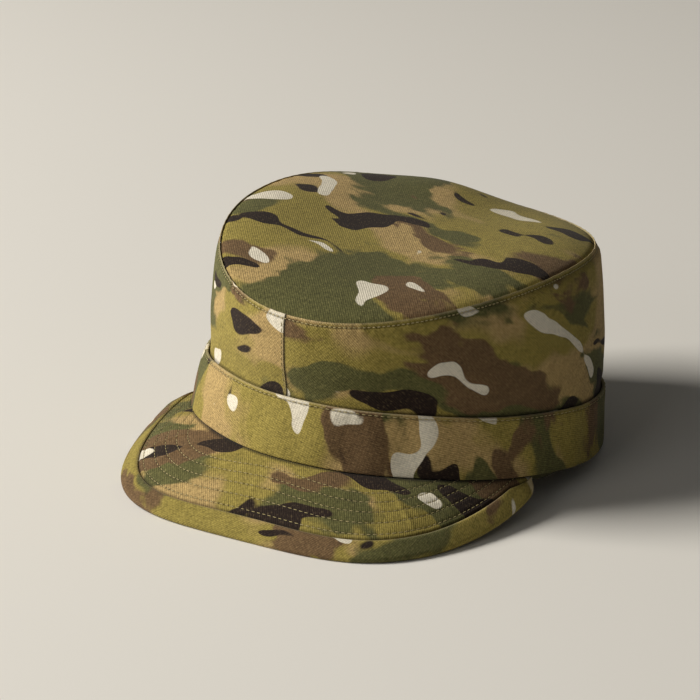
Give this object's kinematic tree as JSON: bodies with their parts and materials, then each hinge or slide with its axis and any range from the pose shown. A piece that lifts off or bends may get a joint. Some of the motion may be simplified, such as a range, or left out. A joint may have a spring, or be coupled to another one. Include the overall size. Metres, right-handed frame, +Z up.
{
  "type": "patrol cap",
  "caption": "Soft round cloth cap with an upright crown, an egg-shaped flat top, a doubled band round its foot and a short curved peak with a bound edge.",
  "frame": {"origin": "middle of the cap's outline, on the surface that it lies on", "axes": "+Z up, the peak points towards -Y, the wearer's left is +X"},
  "size_m": [0.1938, 0.2362, 0.1104],
  "materials": {
    "crown_cloth": "matt cotton and nylon twill with a printed blotch pattern",
    "band_cloth": "matt printed twill, folded double",
    "peak_cloth": "matt printed twill with rows of lockstitch",
    "binding_cloth": "matt printed twill strip folded over the edge"
  },
  "bodies": {
    "root": {"crown_top": "crown_cloth", "crown_side_left": "crown_cloth", "crown_side_right": "crown_cloth", "band": "band_cloth", "peak": "peak_cloth", "peak_binding": "binding_cloth"}
  },
  "joints": []
}
